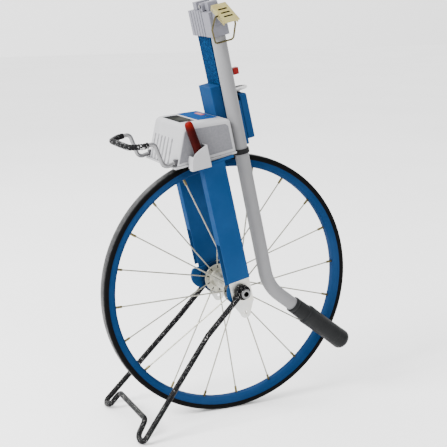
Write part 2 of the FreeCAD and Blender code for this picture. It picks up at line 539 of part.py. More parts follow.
# crayon pocket on the near side, open at the top, and its crayon
px0, px1, py0, py1 = -38.0, -12.0, -hh - 16.0, -hh
pocket_outer = prism([(-40.8, 197.8), (-37.8, 210.4), (-36.6, 213.8), (-34.6, 217.0), (-31.6, 219.8), (-27.4, 222.4), (-21.0, 225.2), (px1, 228.0), (px1, 196.5)], py0, py1)
pocket_room = prism([(-38.2, 201.8), (-36.0, 211.0), (-34.8, 214.4), (-34.8, 240.0), (px1 - 1.6, 240.0), (px1 - 1.6, 201.8)], py0 + 1.6, py1 + 1.0)
part(cut(pocket_outer, pocket_room, box(-80, 40, -q("leg_out_y") - 0.05, -40, 180, 200.04), box(-80, 40, -hh - 1.55, -40, 190, 206.5)), "crayon_pocket", True)
ca = Vector(-21.0, -hh - 7.5, 202.6)
cd = Vector(-0.136, 0, 1.0).normalize()
part(stick(tuple(ca), tuple(ca + cd * S["crayon_len"]), q("crayon_r")), "crayon", True)
# front bail of sprung wire that the folded stand clips behind, with its rubber sleeve
bail = [(-48.0, -by_, 207.4 + 4.2), (-72.0, -by_, 209.5), (-77.5, -by_, 245.5), (-94.0, -by_ - 1.0, 246.0), (-109.0, -36.0, 247.0), (-113.0, -18.0, 249.5),
        (-113.0, 18.0, 249.5), (-109.0, 36.0, 247.0), (-94.0, by_ + 1.0, 246.0), (-77.5, by_, 245.5), (-72.0, by_, 209.5), (-48.0, by_, 207.4 + 4.2)]
bail_bends = [8.0, 7.0, 7.0, 12.0, 14.0, 14.0, 12.0, 7.0, 7.0, 8.0]
bail_wire = rod(bail, bail_bends, q("wire_r"))
part(bail_wire, "front_bail", True)
s0 = [(bail[2][k] + 0.55 * (bail[3][k] - bail[2][k])) for k in range(3)]
s1 = [s0[0], -s0[1], s0[2]]
part(cut(rod([tuple(s0)] + bail[3:9] + [tuple(s1)], [7.0, 12.0, 14.0, 14.0, 12.0, 7.0], q("rubber_r")), rod([tuple(bail[2])] + bail[3:9] + [tuple(bail[9])], [7.0, 12.0, 14.0, 14.0, 12.0, 7.0], q("wire_r"))), "bail_sleeve", True)
part(group(*[cut(box(-55.5, -50.2, y - 3.9, y + 3.9, 206.7, 215.6), rod(bail, bail_bends, q("wire_r"))) for y in (-by_, by_)]), "bail_clips", True)

# ---------------------------------------------------------------- the folding stand: one bent rod with two flattened eyes
E = S["eye_y"]
kx, ky, kz = -54.5, 53.7, -58.0
fx, fy_, fz = -166.6, 84.0, -S["wheel_r"] + S["stand_r"]
nx, ny, nz = -151.5, 56.0, -167.6
dirn = Vector(kx, 0, kz).normalize()
root = dirn * (S["eye_r"] - 2.0)
half = [(root.x, E, root.z), (kx, ky, kz), (fx + 3.0, fy_, fz + 2.5), (fx, fy_ - 9.0, fz), (fx + 1.5, ny + 6.0, fz + 3.0), (nx, ny, nz)]
pts = half + [(x, -y, z) for x, y, z in reversed(half)]
radii = [14.0, 6.0, 6.0, 12.0, 9.0, 9.0, 12.0, 6.0, 6.0, 14.0]
wire = rod(pts, radii, q("stand_r"))
eyes = [cyl(q("eye_r"), q("eye_w"), 0, y, 0, TO_Y) for y in (q("eye_y") - q("eye_w") * 0.5, -(q("eye_y") + q("eye_w") * 0.5))]
part(cut(fuse(wire, *eyes), cyl(q("axle_r") + q("run_gap"), 140, 0, -70, 0, TO_Y)), "stand", False)

# ---------------------------------------------------------------- fasteners
heads = [cyl(2.8, 1.6, q("bat_out"), 0, s_, TO_X) for s_ in (213.0, 262.0)] + [cyl(2.8, 1.6, x, q("head_far"), 388.0, TO_Y) for x in (46.0, 61.0)]
part(group(*heads), "screws", True)

doc.recompute()
bad = []
for o in doc.Objects:
    if any(s in ("Invalid", "Error") for s in o.State):
        bad.append((o.Name, o.Label, list(o.State)))
for o in parts:
    if o.Shape.isNull() or not o.Shape.isValid() or o.Shape.Volume <= 0:
        bad.append((o.Name, o.Label, "bad shape"))
if bad:
    raise SystemExit("failed objects: %r" % bad)
os.makedirs("parts", exist_ok=True)
for name in os.listdir("parts"):
    if name.endswith(".step"):
        os.remove(os.path.join("parts", name))
for o in parts:
    o.Shape.exportStep("parts/%s.step" % o.Label)
    print("%-18s %9.0f mm3  %d solid(s)" % (o.Label, o.Shape.Volume, len(o.Shape.Solids)))
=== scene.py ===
import math

import bmesh
import bpy
from mathutils import Matrix, Quaternion, Vector
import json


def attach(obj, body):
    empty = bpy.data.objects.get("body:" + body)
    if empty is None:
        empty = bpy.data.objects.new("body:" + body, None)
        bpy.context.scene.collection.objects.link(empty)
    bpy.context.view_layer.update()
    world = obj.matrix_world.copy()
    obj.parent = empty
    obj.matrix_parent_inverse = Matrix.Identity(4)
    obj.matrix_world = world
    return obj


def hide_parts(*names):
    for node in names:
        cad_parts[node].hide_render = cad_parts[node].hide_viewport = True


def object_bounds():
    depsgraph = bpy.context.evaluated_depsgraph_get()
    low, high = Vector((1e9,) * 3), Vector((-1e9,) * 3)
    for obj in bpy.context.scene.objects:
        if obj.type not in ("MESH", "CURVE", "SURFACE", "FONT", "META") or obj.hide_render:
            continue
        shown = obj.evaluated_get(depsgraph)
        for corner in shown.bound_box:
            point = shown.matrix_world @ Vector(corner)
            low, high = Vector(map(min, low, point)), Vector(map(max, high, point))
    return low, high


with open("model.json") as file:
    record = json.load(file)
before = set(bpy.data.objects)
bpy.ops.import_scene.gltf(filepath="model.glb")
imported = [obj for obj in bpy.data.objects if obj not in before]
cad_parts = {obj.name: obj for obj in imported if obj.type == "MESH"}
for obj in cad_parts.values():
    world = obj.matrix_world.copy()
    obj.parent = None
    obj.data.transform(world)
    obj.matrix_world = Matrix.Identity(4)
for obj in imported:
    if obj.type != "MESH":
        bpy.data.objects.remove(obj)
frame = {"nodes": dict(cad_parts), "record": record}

CAD_LO, CAD_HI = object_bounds()
NODES = frame["nodes"]
MM = 0.001
LEAN = math.radians(12.9)
CL, SL = math.cos(LEAN), math.sin(LEAN)


def L(x, y, s):
    """A point of the leaning fork frame, in mm, as a point of the row frame, in metres."""
    return Vector((x * CL - s * SL, y, x * SL + s * CL)) * MM


def LD(x, y, s):
    v = Vector((x * CL - s * SL, y, x * SL + s * CL))
    return v.normalized()


XP, YP, SP = LD(1, 0, 0), Vector((0, 1, 0)), LD(0, 0, 1)


# ------------------------------------------------------------------ materials
class Nodes:
    def __init__(self, name):
        self.mat = bpy.data.materials.new(name)
        self.mat.use_nodes = True
        self.t = self.mat.node_tree
        self.t.nodes.clear()
        self.out = self.t.nodes.new("ShaderNodeOutputMaterial")
        self.b = self.t.nodes.new("ShaderNodeBsdfPrincipled")
        self.t.links.new(self.b.outputs[0], self.out.inputs["Surface"])
        self.coord = self.t.nodes.new("ShaderNodeTexCoord").outputs["Object"]

    def n(self, kind, **props):
        node = self.t.nodes.new(kind)
        for k, v in props.items():
            setattr(node, k, v)
        return node

    def put(self, socket, value):
        if hasattr(value, "is_output") or isinstance(value, bpy.types.NodeSocket):
            self.t.links.new(value, socket)
        else:
            socket.default_value = value

    def noise(self, scale, detail=4.0, rough=0.55, vector=None, distortion=0.0):
        node = self.n("ShaderNodeTexNoise")
        self.put(node.inputs["Vector"], vector or self.coord)
        node.inputs["Scale"].default_value = scale
        node.inputs["Detail"].default_value = detail
        node.inputs["Roughness"].default_value = rough
        node.inputs["Distortion"].default_value = distortion
        return node.outputs["Fac"]

    def voronoi(self, scale, feature="F1", vector=None):
        node = self.n("ShaderNodeTexVoronoi", feature=feature)
        self.put(node.inputs["Vector"], vector or self.coord)
        node.inputs["Scale"].default_value = scale
        return node.outputs["Distance"]

    def math(self, op, a, b=0.0, c=0.0, clamp=False):
        node = self.n("ShaderNodeMath", operation=op, use_clamp=clamp)
        for i, v in enumerate((a, b, c)):
            if i < len(node.inputs):
                self.put(node.inputs[i], v)
        return node.outputs[0]

    def span(self, value, a, b, lo=0.0, hi=1.0, smooth=True):
        node = self.n("ShaderNodeMapRange", interpolation_type="SMOOTHSTEP" if smooth else "LINEAR")
        self.put(node.inputs["Value"], value)
        for k, v in (("From Min", a), ("From Max", b), ("To Min", lo), ("To Max", hi)):
            node.inputs[k].default_value = v
        return node.outputs["Result"]

    def mix(self, fac, a, b, kind="MIX"):
        node = self.n("ShaderNodeMix", data_type="RGBA", blend_type=kind)
        self.put(node.inputs[0], fac)
        for socket, v in ((node.inputs[6], a), (node.inputs[7], b)):
            self.put(socket, tuple(v) + (1.0,) if isinstance(v, (tuple, list)) and len(v) == 3 else v)
        return node.outputs[2]

    def xyz(self, vector=None):
        node = self.n("ShaderNodeSeparateXYZ")
        self.put(node.inputs[0], vector or self.coord)
        return node.outputs

    def bump(self, height, strength=0.3, distance=0.0005, normal=None):
        node = self.n("ShaderNodeBump")
        node.inputs["Strength"].default_value = strength
        node.inputs["Distance"].default_value = distance
        self.put(node.inputs["Height"], height)
        if normal is not None:
            self.put(node.inputs["Normal"], normal)
        return node.outputs[0]

    # Ambient-occlusion mask; the materials use it to paint shade into crevices.
    def crevice_shade(self, distance=0.004):
        node = self.n("ShaderNodeAmbientOcclusion", samples=6)
        node.inputs["Distance"].default_value = distance
        return node.outputs["AO"]

    def set(self, **values):
        names = {"color": "Base Color", "rough": "Roughness", "metal": "Metallic", "normal": "Normal", "coat": "Coat Weight", "coat_rough": "Coat Roughness", "spec": "Specular IOR Level",
                 "alpha": "Alpha", "trans": "Transmission Weight", "sheen": "Sheen Weight", "ior": "IOR", "aniso": "Anisotropic"}
        for k, v in values.items():
            if isinstance(v, tuple) and len(v) == 3:
                v = v + (1.0,)
            self.put(self.b.inputs[names[k]], v)
        return self.mat


def painted(name, base, rough=0.35, coat=0.2, mottle=0.10, peel=0.10, peel_scale=700.0, painted_shade=0.35, dust=0.0, chips=0.0, spec=0.07, sheen=0.0):
    """Paint or moulded plastic: slow shifts of tone, orange peel, worn gloss, and crevices darkened with painted
    shade.
    """
    k = Nodes(name)
    slow = k.noise(9.0, 5.0, 0.6)
    fine = k.noise(130.0, 6.0, 0.65)
    light = tuple(min(1.0, c * (1 + mottle) + 0.004) for c in base)
    dark = tuple(c * (1 - mottle) for c in base)
    colour = k.mix(k.span(slow, 0.3, 0.7), dark, light)
    colour = k.mix(k.span(fine, 0.62, 0.78, 0.0, 0.25), colour, tuple(c * 0.72 for c in base))
    if dust:
        colour = k.mix(k.span(k.noise(22.0, 8.0, 0.7), 0.5, 0.75, 0.0, dust), colour, (0.15, 0.14, 0.13))
    if chips:
        colour = k.mix(k.span(k.noise(60.0, 10.0, 0.8, distortion=0.4), 0.72, 0.735, 0.0, chips), colour, (0.25, 0.25, 0.26))
    # painted shade: the colour goes darker where the ambient-occlusion mask finds crevices and gaps between parts
    ao = k.crevice_shade()
    colour = k.mix(k.span(ao, 0.35, 0.95, painted_shade, 0.0), colour, tuple(c * 0.3 for c in base))
    r = k.span(k.noise(38.0, 6.0, 0.7), 0.3, 0.75, rough - 0.07, rough + 0.13)
    n1 = k.bump(k.noise(peel_scale, 2.0, 0.5), peel, 0.0002)
    n2 = k.bump(k.noise(45.0, 3.0, 0.5), 0.05, 0.0006, n1)
    return k.set(color=colour, rough=r, coat=coat, coat_rough=0.25, spec=spec, metal=sheen, normal=n2)


def plated(name, base, rough=0.3, tint=None, streak=(1, 1, 1), blotch=0.2, scratches=0.25):
    """Bare or plated metal with fine scratches, blotches and crevices darkened with painted shade."""
    k = Nodes(name)
    m = k.n("ShaderNodeMapping")
    k.put(m.inputs["Vector"], k.coord)
    m.inputs["Scale"].default_value = streak
    slow = k.noise(40.0, 6.0, 0.65)
    lines = k.noise(500.0, 3.0, 0.6, vector=m.outputs[0])
    colour = k.mix(k.span(slow, 0.35, 0.7), tuple(c * (1 - blotch) for c in base), base)
    if tint:
        colour = k.mix(k.span(k.noise(75.0, 5.0, 0.6, distortion=0.8), 0.42, 0.66, 0.0, 0.8), colour, tint)
    # painted shade: darker colour in crevices from the ambient-occlusion mask
    ao = k.crevice_shade(0.003)
    colour = k.mix(k.span(ao, 0.3, 0.9, 0.55, 0.0), colour, tuple(c * 0.25 for c in base))
    r = k.math("ADD", k.span(slow, 0.3, 0.7, rough - 0.06, rough + 0.12), k.span(lines, 0.3, 0.7, -0.05, 0.08))
    nrm = k.bump(lines, scratches, 0.00012)
    return k.set(color=colour, rough=r, metal=1.0, normal=nrm)


def rubber(name, base=(0.02, 0.021, 0.022), rough=0.62, dust=0.12, grain=900.0):
    k = Nodes(name)
    colour = k.mix(k.span(k.noise(30.0, 7.0, 0.7), 0.45, 0.75, 0.0, dust), base, (0.03, 0.03, 0.03))
    # painted shade: darker colour in crevices from the ambient-occlusion mask
    colour = k.mix(k.span(k.crevice_shade(0.003), 0.3, 0.9, 0.5, 0.0), colour, (0.002, 0.002, 0.002))
    r = k.span(k.noise(70.0, 5.0, 0.6), 0.3, 0.7, rough - 0.08, rough + 0.12)
    return k.set(color=colour, rough=r, spec=0.13, normal=k.bump(k.noise(grain, 3.0, 0.6), 0.35, 0.0002))


def tyre_material():
    k = Nodes("tyre_tread")
    x, y, z = k.xyz()
    rho = k.math("SQRT", k.math("ADD", k.math("MULTIPLY", x, x), k.math("MULTIPLY", z, z)))
    ang = k.math("ARCTAN2", z, x)
    tread = k.span(rho, 0.1920, 0.1936)
    # The tread is coloured several times lighter than the sidewall: partly dust, partly a painted reflection of the
    # tread's sheen.
    tread_dust_and_sheen = k.mix(k.span(k.noise(150.0, 9.0, 0.78), 0.40, 0.62), (0.008, 0.008, 0.0085), (0.024, 0.024, 0.025))
    flecks = k.mix(k.span(k.noise(900.0, 4.0, 0.7), 0.56, 0.66, 0.0, 0.4), tread_dust_and_sheen, (0.05, 0.05, 0.05))
    side = k.mix(k.span(k.noise(55.0, 6.0, 0.7), 0.45, 0.8, 0.0, 0.25), (0.002, 0.002, 0.0022), (0.006, 0.006, 0.006))
    colour = k.mix(tread, side, flecks)
    ribs = k.math("SINE", k.math("MULTIPLY", ang, 520.0))
    ribs = k.math("MULTIPLY", k.span(ribs, -0.4, 0.6), tread)
    fine = k.noise(1100.0, 3.0, 0.6)
    h = k.math("ADD", k.math("MULTIPLY", ribs, 0.7), k.math("MULTIPLY", fine, 0.4))
    r = k.math("ADD", k.span(k.noise(60.0, 5.0, 0.6), 0.3, 0.7, 0.42, 0.58), k.math("MULTIPLY", tread, -0.08))
    return k.set(color=colour, rough=r, spec=k.span(tread, 0.0, 1.0, 0.03, 0.14), normal=k.bump(h, 0.3, 0.0003))


def fleck_material():
    """Hammered two-tone paint of the column."""
    k = Nodes("hammered_blue")
    v = k.voronoi(520.0)
    fleck = k.span(k.noise(480.0, 5.0, 0.75), 0.49, 0.59)
    colour = k.mix(fleck, (0.0010, 0.010, 0.034), (0.0050, 0.043, 0.125))
    colour = k.mix(k.span(k.noise(11.0, 4.0, 0.5), 0.3, 0.7, 0.0, 0.3), colour, (0.001, 0.016, 0.055))
    # painted shade: darker colour in crevices from the ambient-occlusion mask
    colour = k.mix(k.span(k.crevice_shade(0.004), 0.35, 0.95, 0.5, 0.0), colour, (0.003, 0.02, 0.05))
    return k.set(color=colour, rough=k.span(v, 0.0, 0.7, 0.42, 0.55), spec=0.0, metal=0.08, normal=k.bump(v, 0.2, 0.0002))


def hub_material():
    """Cream-zinc hub: key-shaped spoke slots drawn around each flange, coloured near-black as painted shade of the
    openings.
    """
    k = Nodes("hub_zinc")
    x, y, z = k.xyz()
    rho = k.math("SQRT", k.math("ADD", k.math("MULTIPLY", x, x), k.math("MULTIPLY", z, z)))
    ang = k.math("ARCTAN2", z, x)
    near = k.span(y, -0.001, 0.001, math.radians(5.2), math.radians(23.2))
    turn = k.math("COSINE", k.math("MULTIPLY", k.math("SUBTRACT", ang, near), 10.0))
    slot = k.math("MULTIPLY", k.span(turn, 0.78, 0.86), k.math("MULTIPLY", k.span(rho, 0.0150, 0.0156), k.span(rho, 0.0196, 0.0201, 1.0, 0.0)))
    base = k.mix(k.span(k.noise(120.0, 6.0, 0.65), 0.4, 0.7), (0.30, 0.29, 0.24), (0.46, 0.45, 0.38))
    # painted shade: darker colour in crevices from the ambient-occlusion mask
    base = k.mix(k.span(k.crevice_shade(0.003), 0.3, 0.9, 0.6, 0.0), base, (0.12, 0.11, 0.09))
    # painted shade: the slots are near-black, standing for the shade inside the slot openings
    colour = k.mix(slot, base, (0.015, 0.014, 0.012))
    metal = k.span(slot, 0.0, 1.0, 0.85, 0.0)
    return k.set(color=colour, rough=k.span(k.noise(90.0, 4.0, 0.6), 0.3, 0.7, 0.28, 0.45), metal=metal, normal=k.bump(k.math("SUBTRACT", k.noise(700.0, 3.0, 0.6), slot), 0.4, 0.0003))


def stand_material():
    """Black coating with bright flecks, as on a knurled or chain-rubbed rod: partly worn coating, partly painted
    glints.
    """
    k = Nodes("black_wear_and_glints")
    speck = k.span(k.noise(520.0, 6.0, 0.8, distortion=0.4), 0.60, 0.635)
    broad = k.span(k.noise(55.0, 4.0, 0.6), 0.30, 0.50)
    fac = k.math("MULTIPLY", speck, broad)
    # the bright flecks are partly wear and partly painted glints
    colour = k.mix(fac, (0.003, 0.003, 0.0035), (0.62, 0.61, 0.59))
    h = k.math("ADD", k.noise(300.0, 5.0, 0.7), k.math("MULTIPLY", speck, -0.5))
    return k.set(color=colour, rough=k.span(fac, 0.0, 1.0, 0.42, 0.3), metal=k.math("MULTIPLY", fac, 0.3), spec=0.06, normal=k.bump(h, 0.55, 0.0006))


def sleeve_material():
    k = Nodes("sleeve_painted_glints")
    speck = k.span(k.noise(170.0, 6.0, 0.75, distortion=0.8), 0.57, 0.62)
    # painted highlights: white specks on the black sleeve stand for its glints
    colour = k.mix(k.math("MULTIPLY", speck, 0.9), (0.0025, 0.0025, 0.003), (0.50, 0.50, 0.50))
    return k.set(color=colour, rough=0.45, spec=0.05, normal=k.bump(k.noise(230.0, 5.0, 0.7), 0.6, 0.0008))


def crayon_material():
    k = Nodes("crayon_wax")
    z = k.xyz()[2]
    # Painted shade and light: the body is coloured a dark red as painted shade, and the top, from z 0.238 m up, is
    # painted lighter as painted light.
    colour = k.mix(k.span(k.noise(60.0, 5.0, 0.6), 0.35, 0.7), (0.015, 0.0011, 0.0009), (0.027, 0.0014, 0.0011))
    colour = k.mix(k.span(z, 0.238, 0.250), colour, (0.115, 0.004, 0.0028))
    return k.set(color=colour, rough=k.span(k.noise(80.0, 4.0, 0.6), 0.3, 0.7, 0.35, 0.5), spec=0.03, normal=k.bump(k.noise(350.0, 3.0, 0.5), 0.2, 0.0003))


def housing_material(name, base, panel=None):
    """Light grey moulding with a fine grain."""
    k = Nodes(name)
    x, y, z = k.xyz()
    slow = k.noise(8.0, 4.0, 0.6)
    colour = k.mix(k.span(slow, 0.3, 0.7), tuple(c * 0.93 for c in base), tuple(min(1, c * 1.05) for c in base))
    colour = k.mix(k.span(k.noise(45.0, 9.0, 0.8), 0.62, 0.78, 0.0, 0.22), colour, (0.17, 0.165, 0.155))
    # painted shade: the colour darkens in the front grooves and other crevices found by the ambient-occlusion mask
    colour = k.mix(k.span(k.crevice_shade(0.006), 0.35, 0.98, 0.75, 0.0), colour, (0.055, 0.055, 0.06))
    grain = k.noise(850.0, 3.0, 0.6)
    return k.set(color=colour, rough=k.span(k.noise(50.0, 4.0, 0.6), 0.3, 0.7, 0.42, 0.55), spec=0.3, normal=k.bump(grain, 0.16, 0.0002))


def panel_material():
    k = Nodes("side_grain")
    colour = k.mix(k.span(k.noise(300.0, 7.0, 0.75), 0.42, 0.6), (0.105, 0.105, 0.115), (0.125, 0.125, 0.136))
    colour = k.mix(k.span(k.noise(16.0, 5.0, 0.6), 0.35, 0.7, 0.0, 0.35), colour, (0.14, 0.14, 0.15))
    return k.set(color=colour, rough=k.span(k.noise(60.0, 4.0, 0.6), 0.3, 0.7, 0.5, 0.65), spec=0.2, normal=k.bump(k.noise(700.0, 4.0, 0.7), 0.3, 0.0003))


def lcd_material():
    k = Nodes("display_glass")
    loc = k.coord
    colour = k.mix(k.span(k.noise(40.0, 3.0, 0.5), 0.3, 0.7), (0.012, 0.013, 0.011), (0.035, 0.036, 0.032))
    return k.set(color=colour, rough=k.span(k.noise(90.0, 5.0, 0.6), 0.3, 0.7, 0.3, 0.42), spec=0.0, metal=0.05, normal=k.bump(k.noise(30.0, 2.0, 0.5), 0.03, 0.0003))


M = {}
M["tyre"] = tyre_material()
M["blue"] = painted("blue_powder", (0.0060, 0.034, 0.104), 0.42, 0.0, peel=0.05, chips=0.0, spec=0.0, sheen=0.10)
M["blue_rim"] = painted("blue_rim", (0.0045, 0.025, 0.078), 0.42, 0.0, peel=0.04, chips=0.08, spec=0.0, sheen=0.14)
M["dark_blue"] = painted("navy_plastic", (0.0008, 0.013, 0.045), 0.42, 0.0)
M["fleck"] = fleck_material()
M["hub"] = hub_material()
M["zinc"] = plated("zinc_plate", (0.62, 0.62, 0.60), 0.38, tint=(0.56, 0.54, 0.47))
M["steel"] = plated("bright_steel", (0.22, 0.22, 0.225), 0.2)
M["spoke"] = plated("spoke_wire", (0.30, 0.29, 0.24), 0.28)
M["nipple"] = plated("nipple_brass", (0.16, 0.13, 0.06), 0.38, tint=(0.07, 0.06, 0.03))
M["yellow"] = plated("yellow_zinc", (0.37, 0.33, 0.135), 0.4, tint=(0.30, 0.24, 0.08), blotch=0.15)
M["yellow_dark"] = plated("dark_zinc", (0.095, 0.08, 0.036), 0.35, tint=(0.03, 0.026, 0.015))
M["head"] = painted("lavender_plastic", (0.130, 0.130, 0.150), 0.5, 0.0, mottle=0.05, peel=0.18, peel_scale=900.0)
M["tube"] = painted("grey_satin", (0.155, 0.155, 0.160), 0.42, 0.0, mottle=0.05, peel=0.05, dust=0.05, spec=0.2)
M["grip"] = rubber("grip_rubber", (0.004, 0.0045, 0.005), 0.45, 0.05)
M["black"] = rubber("black_rubber", (0.004, 0.004, 0.0045), 0.5, 0.04)
M["plastic_black"] = painted("black_plastic", (0.004, 0.004, 0.0045), 0.4, 0.0)
M["white"] = painted("white_plastic", (0.55, 0.55, 0.55), 0.4, 0.0, mottle=0.04, painted_shade=0.6)
M["red"] = painted("red_plastic", (0.20, 0.004, 0.003), 0.38, 0.1, mottle=0.15)
M["housing"] = housing_material("grey_moulding", (0.285, 0.285, 0.295))
M["housing_side"] = panel_material()
M["keypad"] = painted("keypad_blue", (0.004, 0.036, 0.13), 0.5, 0.0, mottle=0.06, peel=0.1, peel_scale=1200.0, spec=0.0, sheen=0.05)
M["lcd"] = lcd_material()
M["crayon"] = crayon_material()
M["stand"] = stand_material()
M["sleeve"] = sleeve_material()
M["board"] = painted("solder_mask", (0.01, 0.12, 0.05), 0.35, 0.3)
M["cell"] = painted("cell_wrap", (0.05, 0.05, 0.055), 0.3, 0.4)
M["clip"] = painted("clip_grey", (0.045, 0.045, 0.048), 0.5, 0.0)
M["frame_grey"] = painted("frame_grey", (0.010, 0.010, 0.011), 0.5, 0.0, spec=0.0, sheen=0.05)


# ------------------------------------------------------------------ mesh helpers
def body_of_node(name):
    for b, nodes in frame["record"]["behaviour"]["bodies"].items():
        if name in nodes:
            return b
    raise SystemExit("no body for " + name)


def finish_mesh(name, verts, faces, mats, body, replaced=(), angle=35.0, smooth=True, face_mats=None):
    me = bpy.data.meshes.new(name)
    me.from_pydata([tuple(v) for v in verts], [], faces)
    bm = bmesh.new()
    bm.from_mesh(me)
    bmesh.ops.remove_doubles(bm, verts=bm.verts, dist=1e-7)
    bmesh.ops.recalc_face_normals(bm, faces=bm.faces)
    bm.to_mesh(me)
    bm.free()
    if smooth:
        me.shade_smooth()
        me.set_sharp_from_angle(angle=math.radians(angle))
    for m in (mats if isinstance(mats, (list, tuple)) else [mats]):
        me.materials.append(m)
    ob = bpy.data.objects.new(name, me)
    bpy.context.scene.collection.objects.link(ob)
    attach(ob, body)
    if replaced:
        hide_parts(*replaced)
    return ob


def lathe(name, profile, mats, body, replaced=(), seg=256, closed=True, frame_m=None, angle=35.0, warp=None):
    """profile: (radius, axial) in mm; turned about the +Y axle line, or about the local Z of frame_m."""
    verts, faces = [], []
    n = len(profile)
    for i in range(seg):
        a = 2 * math.pi * i / seg
        for r, h in profile:
            if warp:
                r, h = warp(r, h, a)
            if frame_m is None:
                verts.append(Vector((r * math.cos(a), h, r * math.sin(a))) * MM)
            else:
                verts.append(frame_m @ (Vector((r * math.cos(a), r * math.sin(a), h)) * MM))
    last = n if closed else n - 1
    for i in range(seg):
        j = (i + 1) % seg
        for k in range(last):
            k2 = (k + 1) % n
            faces.append((i * n + k, i * n + k2, j * n + k2, j * n + k))
    return finish_mesh(name, verts, faces, mats, body, replaced, angle)


def bent(points, radii, step=1.2, arc_steps=14):
    """Points along straight runs joined by tangent arcs (metres in, metres out)."""
    pts = [Vector(p) for p in points]
    out = [pts[0]]
    for i in range(1, len(pts) - 1):
        a, b, c = pts[i - 1], pts[i], pts[i + 1]
        u, w = (a - b).normalized(), (c - b).normalized()
        half = math.acos(max(-1.0, min(1.0, u.dot(w)))) / 2.0
        r = (radii[i - 1] if isinstance(radii, (list, tuple)) else radii) * MM
        t = min(r / math.tan(half), 0.48 * (a - b).length, 0.48 * (c - b).length)
        r = t * math.tan(half)
        p0, p1 = b + u * t, b + w * t
        centre = b + (u + w).normalized() * (r / math.sin(half))
        v0, v1 = p0 - centre, p1 - centre
        total = v0.angle(v1)
        axis = v0.cross(v1).normalized()
        for k in range(arc_steps + 1):
            out.append(centre + Quaternion(axis, total * k / arc_steps) @ v0)
    out.append(pts[-1])
    fine = [out[0]]
    for p in out[1:]:
        d = (p - fine[-1]).length
        if d < 1e-6:
            continue
        m = max(1, int(d / (step * MM)))
        a = fine[-1]
        for k in range(1, m + 1):
            fine.append(a.lerp(p, k / m))
    return fine


def sweep(name, path, radius, mats, body, replaced=(), seg=20, capped=True, section=None):
    """A round bar along path; radius is mm or a function of (distance mm, total mm)."""
    n = len(path)
    tang = []
    for i in range(n):
        a, b = path[max(0, i - 1)], path[min(n - 1, i + 1)]
        tang.append((b - a).normalized())
    up = Vector((0, 0, 1)) if abs(tang[0].z) < 0.9 else Vector((0, 1, 0))
    nrm = (up - tang[0] * up.dot(tang[0])).normalized()
    verts, faces, dist = [], [], 0.0
    lengths = [0.0]
    for i in range(1, n):
        lengths.append(lengths[-1] + (path[i] - path[i - 1]).length / MM)
    for i in range(n):
        if i:
            nrm = (nrm - tang[i] * nrm.dot(tang[i])).normalized()
        bi = tang[i].cross(nrm)
        r = radius(lengths[i], lengths[-1]) if callable(radius) else radius
        for k in range(seg):
            a = 2 * math.pi * k / seg
            rr = r * (section(a, lengths[i]) if section else 1.0)
            verts.append(path[i] + (nrm * math.cos(a) + bi * math.sin(a)) * rr * MM)
    for i in range(n - 1):
        for k in range(seg):
            k2 = (k + 1) % seg
            faces.append((i * seg + k, i * seg + k2, (i + 1) * seg + k2, (i + 1) * seg + k))
    if capped:
        faces.append(tuple(range(seg))[::-1])
        faces.append(tuple((n - 1) * seg + k for k in range(seg)))
    return finish_mesh(name, verts, faces, mats, body, replaced, 50.0)


def refine(node, mats, width=0.6, seg=3, angle=32.0):
    """The CAD node with its flat faces joined and its edges rounded."""
    src = NODES[node]
    bm = bmesh.new()
    bm.from_mesh(src.data)
    bmesh.ops.remove_doubles(bm, verts=bm.verts, dist=2e-6)
    bmesh.ops.dissolve_limit(bm, angle_limit=math.radians(0.6), verts=bm.verts, edges=bm.edges)
    me = bpy.data.meshes.new("fine_" + node)
    bm.to_mesh(me)
    bm.free()
    me.shade_smooth()
    me.set_sharp_from_angle(angle=math.radians(angle))
    for m in (mats if isinstance(mats, (list, tuple)) else [mats]):
        me.materials.append(m)
    for p in me.polygons:
        p.material_index = 0
    ob = bpy.data.objects.new("fine_" + node, me)
    bpy.context.scene.collection.objects.link(ob)
    if width:
        mod = ob.modifiers.new("round", "BEVEL")
        mod.width = width * MM
        mod.segments = seg
        mod.limit_method = "ANGLE"
        mod.angle_limit = math.radians(angle)
        mod.harden_normals = True
        mod.use_clamp_overlap = True
    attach(ob, body_of_node(node))
    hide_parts(node)
    return ob


def paint(node, mat):
    o = NODES[node]
    o.data.materials.clear()
    o.data.materials.append(mat)


def block(name, x, y, s, mats, body, width=0.4, tilt=0.0):
    """A small block in the leaning frame with rounded edges: x, y, s are (low, high) in mm."""
    verts = [L(a, b, c) for a in x for b in y for c in s]
    faces = [(0, 1, 3, 2), (4, 6, 7, 5), (0, 4, 5, 1), (2, 3, 7, 6), (0, 2, 6, 4), (1, 5, 7, 3)]
    ob = finish_mesh(name, verts, faces, mats, body)
    mod = ob.modifiers.new("round", "BEVEL")
    mod.width, mod.segments, mod.harden_normals = width * MM, 3, True
    return ob


# ------------------------------------------------------------------ wheel
tyre = [(180.7, 5.6), (180.7, -5.6), (186.0, -6.2), (186.0, -8.7)]
for i in range(0, 41):
    h = -9.2 + 18.4 * i / 40
    edge = abs(h) / 9.2
    r = 194.0 - 0.9 * edge ** 2 - 4.5 * max(0.0, edge - 0.72) ** 1.5 * 4
    tyre.append((r, h))
tyre += [(186.0, 8.7), (186.0, 6.2)]
lathe("tyre_skin", tyre, M["tyre"], "wheel", ["tyre"], seg=360, angle=40)
rim = [(175.0, -4.2), (175.0, 4.2), (175.4, 5.6), (177.0, 7.6), (178.0, 8.2), (178.8, 8.4), (182.0, 8.4), (182.3, 8.1), (185.9, 8.1), (185.9, 6.4), (180.0, 6.3), (177.9, 4.2), (177.6, 0.0), (177.9, -4.2), (180.0, -6.3),
       (185.9, -6.4), (185.9, -8.1), (182.3, -8.1), (182.0, -8.4), (178.8, -8.4), (178.0, -8.2), (177.0, -7.6), (175.4, -5.6)]
lathe("rim_skin", rim, M["blue_rim"], "wheel", ["rim"], seg=360, angle=30)
paint("spokes", M["spoke"])
paint("spoke_nipples", M["nipple"])
refine("hub_shell", M["hub"], 0.5, 2)
refine("hub_bearings", M["steel"], 0.3, 2)
refine("encoder_disc", M["dark_blue"], 0.2, 2)

